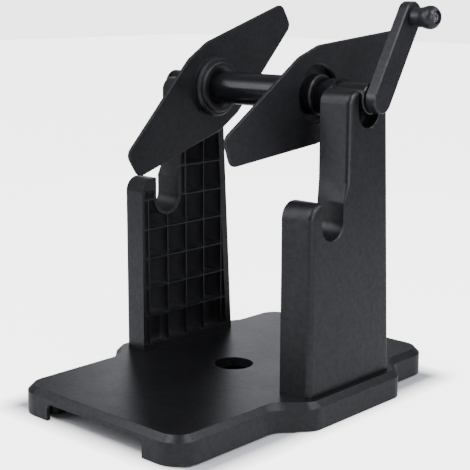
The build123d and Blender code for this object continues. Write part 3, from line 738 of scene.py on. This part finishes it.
class HolderDetail(bpy.types.PropertyGroup):
    """Sizes of the small forms."""
    edge_radius: bpy.props.FloatProperty(
        name="Edge Radius", description="Radius that moulded edges are softened by", default=0.45 * MM,
        **LENGTH)
    grain_size: bpy.props.FloatProperty(
        name="Grain", description="Size of the satin grain", default=0.55 * MM, **LENGTH)
    grain_depth: bpy.props.FloatProperty(
        name="Grain Depth", description="Depth of the satin grain", default=0.03 * MM, **LENGTH)
    socket_across: bpy.props.FloatProperty(
        name="Socket", description="Distance across the flats of a screw's socket", default=3.0 * MM,
        **LENGTH)
    socket_depth: bpy.props.FloatProperty(
        name="Socket Depth", description="Depth of a screw's socket", default=1.3 * MM, **LENGTH)
    shoulder: bpy.props.FloatProperty(
        name="Shoulder", description="Round on a screw's head", default=1.1 * MM, **LENGTH)
    break_edge: bpy.props.FloatProperty(
        name="Broken Edge", description="Small bevel on turned edges", default=0.18 * MM, **LENGTH)
    packed_cell_depth: bpy.props.FloatProperty(
        name="Packed Cell Depth", description="Depth of the cells in the packed uprights", default=4.0 * MM,
        **LENGTH)
    cell_depth: bpy.props.FloatProperty(
        name="Cell Depth", description="How much deeper the cells in the uprights go, at most",
        default=17.0 * MM, **LENGTH)
    narrow_cell_depth: bpy.props.FloatProperty(
        name="Narrow Cell Depth", description="Depth of the cells behind the front walls, at most",
        default=12.0 * MM, **LENGTH)
    outer_wall: bpy.props.FloatProperty(
        name="Outer Wall", description="Wall left behind the cells", default=2.2 * MM, **LENGTH)
    cell_wall: bpy.props.FloatProperty(
        name="Cell Wall", description="Wall in front of the narrow cells", default=2.0 * MM, **LENGTH)
    rib_width: bpy.props.FloatProperty(
        name="Rib Width", description="Width of the ribs between the cells", default=1.6 * MM, **LENGTH)
    rib_taper: bpy.props.FloatProperty(
        name="Rib Taper", description="How much a rib thins on each side towards its free edge",
        default=0.35 * MM, **LENGTH)
    cut_overrun: bpy.props.FloatProperty(
        name="Cut Overrun", description="How far a cut starts outside the wall", default=1.0 * MM, **LENGTH)
    # Reach of the shelter that makes the cells paler deep inside: partly dust, partly painted light that
    # lifts their shade
    dust_reach: bpy.props.FloatProperty(
        name="Dust and Painted Light Reach", description="How far walls reach when the cells are made paler with dust and painted light", default=30 * MM,
        **LENGTH)
    first_rib: bpy.props.FloatProperty(
        name="First Rib", description="Distance of the first rib from the front", default=6.6 * MM, **LENGTH)
    level_start: bpy.props.FloatProperty(
        name="Lowest Rib", description="Height of the lowest rib over the deck", default=4.4 * MM, **LENGTH)
    level_pitch: bpy.props.FloatProperty(
        name="Rib Pitch", description="Height from one level rib to the next", default=23.4 * MM, **LENGTH)
    post_setback: bpy.props.FloatProperty(
        name="Post Setback", description="Distance of the post behind the upright's front",
        default=40.2 * MM, **LENGTH)
    horn_depth: bpy.props.FloatProperty(
        name="Horn Cell Reach", description="Rear end of the cell in the horn", default=12.4 * MM, **LENGTH)
    horn_cell: bpy.props.FloatProperty(
        name="Horn Cell Height", description="Height of the cell in the horn", default=7.0 * MM, **LENGTH)
    top_cell_depth: bpy.props.FloatProperty(
        name="Top Cell Reach", description="Rear end of the cell in the post's top", default=10.4 * MM,
        **LENGTH)
    top_cell: bpy.props.FloatProperty(
        name="Top Cell Height", description="Height of the cell in the post's top", default=11.0 * MM,
        **LENGTH)
    pad_groove: bpy.props.FloatProperty(
        name="Pad Groove", description="Width of the grooves under a foot pad", default=0.9 * MM, **LENGTH)
    pad_rim: bpy.props.FloatProperty(
        name="Pad Rim", description="Round on a foot pad's lower edge", default=0.5 * MM, **LENGTH)
    shank_radius: bpy.props.FloatProperty(
        name="Shank", description="Radius of the screws' threads", default=2.0 * MM, **LENGTH)
    upright_head: bpy.props.FloatProperty(
        name="Upright Screw Head", description="Height of the upright screws' heads", default=2.6 * MM,
        **LENGTH)
    cap_head: bpy.props.FloatProperty(
        name="Cap Screw Head", description="Height of the cap screw's head", default=1.6 * MM, **LENGTH)
    knob_head: bpy.props.FloatProperty(
        name="Knob Screw Head", description="Height of the knob screw's head", default=2.2 * MM, **LENGTH)
    knob_bore: bpy.props.FloatProperty(
        name="Knob Bore", description="Radius of the knob's bore", default=2.55 * MM, **LENGTH)
    knob_play: bpy.props.FloatProperty(
        name="Knob Play", description="Gap between the knob's bore and its screw", default=0.05 * MM,
        **LENGTH)
    knob_recess: bpy.props.FloatProperty(
        name="Knob Recess", description="Radius of the recess in the knob's end", default=4.4 * MM, **LENGTH)
    knob_recess_depth: bpy.props.FloatProperty(
        name="Knob Recess Depth", description="Depth of the recess in the knob's end", default=3.2 * MM,
        **LENGTH)
    knob_rim: bpy.props.FloatProperty(
        name="Knob Rim", description="Round on the rim of the knob", default=0.6 * MM, **LENGTH)
    knob_neck: bpy.props.FloatProperty(
        name="Knob Neck", description="Neck of the knob, as a share of its grip", default=0.843, **SHARE)


class HolderStudio(bpy.types.PropertyGroup):
    """Camera and lights."""
    camera_place: bpy.props.FloatVectorProperty(
        name="Camera", description="Where the camera stands", default=(0.58315, -0.63026, 0.3005),
        subtype="TRANSLATION", unit="LENGTH", size=3)
    azimuth: bpy.props.FloatProperty(
        name="Azimuth", description="Turn of the camera to the crank side", default=math.radians(42.727),
        subtype="ANGLE")
    elevation: bpy.props.FloatProperty(
        name="Elevation", description="Downward tilt of the camera", default=math.radians(11.729),
        subtype="ANGLE")
    roll: bpy.props.FloatProperty(
        name="Roll", description="Sideways tilt of the camera", default=math.radians(0.221), subtype="ANGLE")
    lens: bpy.props.FloatProperty(
        name="Lens", description="Focal length in millimetres on a 36 mm film", default=89.335, min=1)
    target: bpy.props.FloatVectorProperty(
        name="Light Target", description="Point that the softboxes face", default=(0, 0, 0.14),
        subtype="TRANSLATION", unit="LENGTH", size=3)
    softbox_distance: bpy.props.FloatProperty(
        name="Softbox Distance", description="How far the softboxes stand away", default=1.1, **LENGTH)
    softbox_size: bpy.props.FloatProperty(
        name="Softbox Size", description="Width of a softbox", default=0.45, **LENGTH)
    brightness: bpy.props.FloatProperty(
        name="Softboxes", description="Brightness of all the softboxes together", default=4.0, min=0)
    light_colour: bpy.props.FloatVectorProperty(
        name="Light Colour", description="Colour of the softboxes and the surround",
        default=(0.965, 0.98, 1.06), subtype="COLOR", size=3, min=0, max=2)
    surround: bpy.props.FloatProperty(
        name="Surround", description="Brightness of the white surround", default=0.24, min=0)
    glow: bpy.props.FloatProperty(
        name="Glow", description="How much brighter the paper and the surround look from the camera",
        default=4.0, min=0)


# Operators

class HolderOperator:
    """What every operator of the holder shares."""
    bl_options = {"REGISTER"}

    @property
    def finish(self):
        return bpy.context.scene.holder_finish

    @property
    def detail(self):
        return bpy.context.scene.holder_detail

    def plastic(self, name, kind, **extras):
        """The finish of one kind of plastic piece, with that kind's share of the tray's grain."""
        detail, finish = self.detail, self.finish
        grain, depth, edge, mottling = PLASTIC_SHARES[kind]
        return moulded(name, getattr(finish, kind + "_colour"), getattr(finish, kind + "_roughness"),
                       detail.grain_size * grain, detail.grain_depth * depth, detail.edge_radius * edge,
                       finish.mottling * mottling, **extras)


class HOLDER_OT_moulded(HolderOperator, bpy.types.Operator):
    """Finishes the base tray and the two uprights, whose cells it sinks deeper"""
    bl_idname = "holder.moulded"
    bl_label = "Tray and Uprights"

    def execute(self, context):
        wear("base_tray", self.plastic("moulded_black", "moulded"))
        # The uprights' finish paints light deep into their cells, as well as dust
        dust_and_painted_light_finish = self.plastic("moulded_black_cells", "moulded", dust_reach=self.detail.dust_reach)
        for node in UPRIGHT_NODES:
            take_over(sunk_upright(node, self.detail), dust_and_painted_light_finish, "root", "moulded_black", node)
        return {"FINISHED"}


class HOLDER_OT_paddles(HolderOperator, bpy.types.Operator):
    """Finishes the two paddles"""
    bl_idname = "holder.paddles"
    bl_label = "Paddles"

    def execute(self, context):
        material = self.plastic("paddle_black", "paddle")
        for node in PADDLE_NODES:
            wear(node, material)
        return {"FINISHED"}


class HOLDER_OT_shaft(HolderOperator, bpy.types.Operator):
    """Finishes the shaft, its bushes, journals and end cap"""
    bl_idname = "holder.shaft"
    bl_label = "Shaft"

    def execute(self, context):
        finish = self.finish
        wear("shaft_tube", coated_metal("tube_black", finish.tube_colour, finish.tube_roughness,
                                        self.detail.edge_radius))
        turned = self.plastic("bush_black", "turned")
        for node in TURNED_NODES:
            wear(node, turned)
        return {"FINISHED"}


class HOLDER_OT_crank(HolderOperator, bpy.types.Operator):
    """Finishes the crank arm and makes its turned knob"""
    bl_idname = "holder.crank"
    bl_label = "Crank"

    def execute(self, context):
        # The crank's edges take a shade 24 times lighter: a painted highlight along them, as well as wear
        material = self.plastic("crank_black", "crank", rub=24.0, index=1.41)
        wear("crank_arm", material)
        span = size("crank_knob")
        place = along_shaft("crank_knob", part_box("crank_knob")[0].x)
        knob = turned_piece("knob_grip", knob_rings(self.detail, span.x, span.z / 2), place, through=True)
        take_over(knob, material, "knob", "crank_black", "crank_knob")
        return {"FINISHED"}


class HOLDER_OT_fixings(HolderOperator, bpy.types.Operator):
    """Makes the screws with their sockets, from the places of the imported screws"""
    bl_idname = "holder.fixings"
    bl_label = "Screws"

    def upright_screws(self, node, material):
        """The screws under one upright, which stand head down."""
        detail = self.detail
        low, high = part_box(node)
        head = (high.x - low.x) / 2
        seat = low.z + detail.upright_head
        rings = screw_rings(detail, head, detail.upright_head, [(high.z - seat, detail.shank_radius)])
        places = [(middle(node).x, y, seat) for y in (low.y + head, high.y - head)]
        return repeat_at(node + "_pair", turned_piece(node + "_unit", rings, DOWNWARD), places, material)

    def cap_screw(self):
        """The screw in the left cap, with its head to the left."""
        detail = self.detail
        low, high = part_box("end_cap_screw")
        seat = low.x + detail.cap_head
        shanks = [(high.x - seat, detail.shank_radius)]
        rings = screw_rings(detail, (high.z - low.z) / 2, detail.cap_head, shanks)
        return turned_piece("cap_screw", rings, along_shaft("end_cap_screw", seat) @ DOWNWARD)

    def knob_screw(self):
        """The knob's screw: a thread in the arm, a plain axle in the knob, and its head to the right."""
        detail = self.detail
        low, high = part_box("knob_screw")
        arm = size("crank_arm").x
        seat = high.x - detail.knob_head
        shanks = [(arm, detail.shank_radius), (seat - low.x - arm, detail.knob_bore - detail.knob_play)]
        rings = screw_rings(detail, (high.z - low.z) / 2, detail.knob_head, shanks)
        return turned_piece("knob_axle_screw", rings, along_shaft("knob_screw", seat))

    def grub_screw(self):
        """The grub screw across the arm, whose length follows from the box round its slanted cylinder."""
        centre, shaft, knob = middle("crank_grub_screw"), middle("right_journal"), middle("crank_knob")
        outward = Vector((0, shaft.y - knob.y, shaft.z - knob.z)).normalized()
        span = size("crank_grub_screw")
        radius = span.x / 2
        length = (abs(outward.y) * span.y + abs(outward.z) * span.z
                  - 4 * radius * abs(outward.y * outward.z))
        turn = outward.to_track_quat("Z", "X").to_matrix().to_4x4()
        place = Matrix.Translation(centre - outward * length / 2) @ turn
        return turned_piece("grub_screw", grub_rings(self.detail, radius, length), place, GRUB_SEGMENTS)

    def execute(self, context):
        finish = self.finish
        edge = self.detail.edge_radius * STEEL_EDGE_SHARE
        steel = plated_steel("screw_steel", finish.steel_colour, finish.steel_roughness, edge)
        dark_steel = plated_steel("knob_screw_steel", finish.knob_screw_colour,
                                  finish.knob_screw_roughness, edge)
        for node in UPRIGHT_SCREW_NODES:
            take_over(self.upright_screws(node, steel), steel, "root", "screw_steel", node)
        take_over(self.cap_screw(), steel, "shaft", "screw_steel", "end_cap_screw")
        take_over(self.knob_screw(), dark_steel, "shaft", "screw_steel", "knob_screw")
        take_over(self.grub_screw(), steel, "shaft", "screw_steel", "crank_grub_screw")
        return {"FINISHED"}


class HOLDER_OT_rubber(HolderOperator, bpy.types.Operator):
    """Makes the foot pads, and finishes them and the grip rings"""
    bl_idname = "holder.rubber"
    bl_label = "Rubber"

    def execute(self, context):
        detail, finish = self.detail, self.finish
        material = rubber("pad_rubber", finish.rubber_colour, finish.rubber_roughness,
                          detail.edge_radius * RUBBER_EDGE_SHARE)
        for node in RUBBER_NODES:
            wear(node, material)
        low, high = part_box(PAD_NODES[0])
        unit = turned_piece("foot_pad_unit", pad_rings(detail, (high.x - low.x) / 2, high.z - low.z), UPWARD)
        places = [(middle(node).x, middle(node).y, low.z) for node in PAD_NODES]
        take_over(repeat_at("foot_pads", unit, places, material), material, "root", "pad_rubber", *PAD_NODES)
        return {"FINISHED"}


def softbox(name, azimuth, elevation, brightness, studio):
    """Square softbox that faces the stand from a direction, counted round from the crank side."""
    lamp = bpy.data.lights.new(name, "AREA")
    lamp.shape = "SQUARE"
    lamp.size = studio.softbox_size
    lamp.energy = math.pi * studio.softbox_size ** 2 * brightness * studio.brightness
    lamp.color = studio.light_colour
    light = linked_object(name, lamp)
    outward = Vector((math.cos(azimuth) * math.cos(elevation), math.sin(azimuth) * math.cos(elevation),
                      math.sin(elevation)))
    light.location = Vector(studio.target) + outward * studio.softbox_distance
    light.rotation_euler = outward.to_track_quat("Z", "Y").to_euler()
    light.visible_camera = False


def backlit_world(studio):
    """White surround that looks brighter to the camera than to the stand."""
    world = bpy.data.worlds.new("surround")
    world.use_nodes = True
    tree = world.node_tree
    backdrop = tree.nodes["Background"]
    backdrop.inputs["Color"].default_value = shade(studio.light_colour)
    backdrop.inputs["Strength"].default_value = studio.surround
    backlit = tree.nodes.new("ShaderNodeBackground")
    backlit.inputs["Strength"].default_value = studio.surround + studio.glow
    ray = tree.nodes.new("ShaderNodeLightPath")
    blend = tree.nodes.new("ShaderNodeMixShader")
    tree.links.new(ray.outputs["Is Camera Ray"], blend.inputs[0])
    tree.links.new(backdrop.outputs[0], blend.inputs[1])
    tree.links.new(backlit.outputs[0], blend.inputs[2])
    tree.links.new(blend.outputs[0], tree.nodes["World Output"].inputs["Surface"])
    return world


def aimed_camera(studio):
    """Camera at its place, turned round to the crank side, tilted down, and rolled a little."""
    lens = bpy.data.cameras.new("camera")
    lens.lens = studio.lens
    camera = linked_object("camera", lens)
    turn = (Matrix.Rotation(studio.azimuth, 4, "Z") @ Matrix.Rotation(QUARTER - studio.elevation, 4, "X")
            @ Matrix.Rotation(studio.roll, 4, "Z"))
    camera.matrix_world = Matrix.Translation(studio.camera_place) @ turn
    return camera


class HOLDER_OT_stage(HolderOperator, bpy.types.Operator):
    """Makes the floor, the lights and the camera"""
    bl_idname = "holder.stage"
    bl_label = "Studio"

    def execute(self, context):
        finish, studio = self.finish, context.scene.holder_studio
        low, high = (Vector(corner) for corner in cad_bounds)
        reach = FLOOR_SHARE * (high - low).length
        corners = [(-reach, -reach, 0), (reach, -reach, 0), (reach, reach, 0), (-reach, reach, 0)]
        sheet = bpy.data.meshes.new("floor")
        sheet.from_pydata(corners, [], [(0, 1, 2, 3)])
        sheet.materials.append(paper_floor("floor_paper", finish.floor_colour, finish.floor_roughness,
                                           studio.glow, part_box("base_tray")[1]))
        floor = linked_object("floor", sheet)
        context.scene.world = backlit_world(studio)
        for name, (azimuth, elevation, brightness) in SOFTBOXES.items():
            softbox(name, math.radians(azimuth), math.radians(elevation), brightness, studio)
        context.scene.camera = aimed_camera(studio)
        return {"FINISHED"}


class HOLDER_PT_panel(bpy.types.Panel):
    """Lists the holder's pieces, finishes and studio"""
    bl_idname = "HOLDER_PT_panel"
    bl_label = "Label Roll Holder"
    bl_space_type = "VIEW_3D"
    bl_region_type = "UI"
    bl_category = "Roll Holder"

    def draw(self, context):
        for operator in OPERATORS:
            self.layout.operator(operator.bl_idname)
        for group in (context.scene.holder_finish, context.scene.holder_detail, context.scene.holder_studio):
            box = self.layout.box()
            for name in group.__annotations__:
                box.prop(group, name)


OPERATORS = (HOLDER_OT_moulded, HOLDER_OT_paddles, HOLDER_OT_shaft, HOLDER_OT_crank, HOLDER_OT_fixings,
             HOLDER_OT_rubber, HOLDER_OT_stage)
GROUPS = (HolderFinish, HolderDetail, HolderStudio)
CLASSES = GROUPS + OPERATORS + (HOLDER_PT_panel,)


def register():
    for cls in CLASSES:
        bpy.utils.register_class(cls)
    bpy.types.Scene.holder_finish = bpy.props.PointerProperty(type=HolderFinish)
    bpy.types.Scene.holder_detail = bpy.props.PointerProperty(type=HolderDetail)
    bpy.types.Scene.holder_studio = bpy.props.PointerProperty(type=HolderStudio)


def unregister():
    for name in ("holder_finish", "holder_detail", "holder_studio"):
        delattr(bpy.types.Scene, name)
    for cls in reversed(CLASSES):
        bpy.utils.unregister_class(cls)


def main():
    """Makes the whole scene."""
    register()
    for operator in OPERATORS:
        group, name = operator.bl_idname.split(".")
        getattr(getattr(bpy.ops, group), name)()


if __name__ == "__main__":
    main()
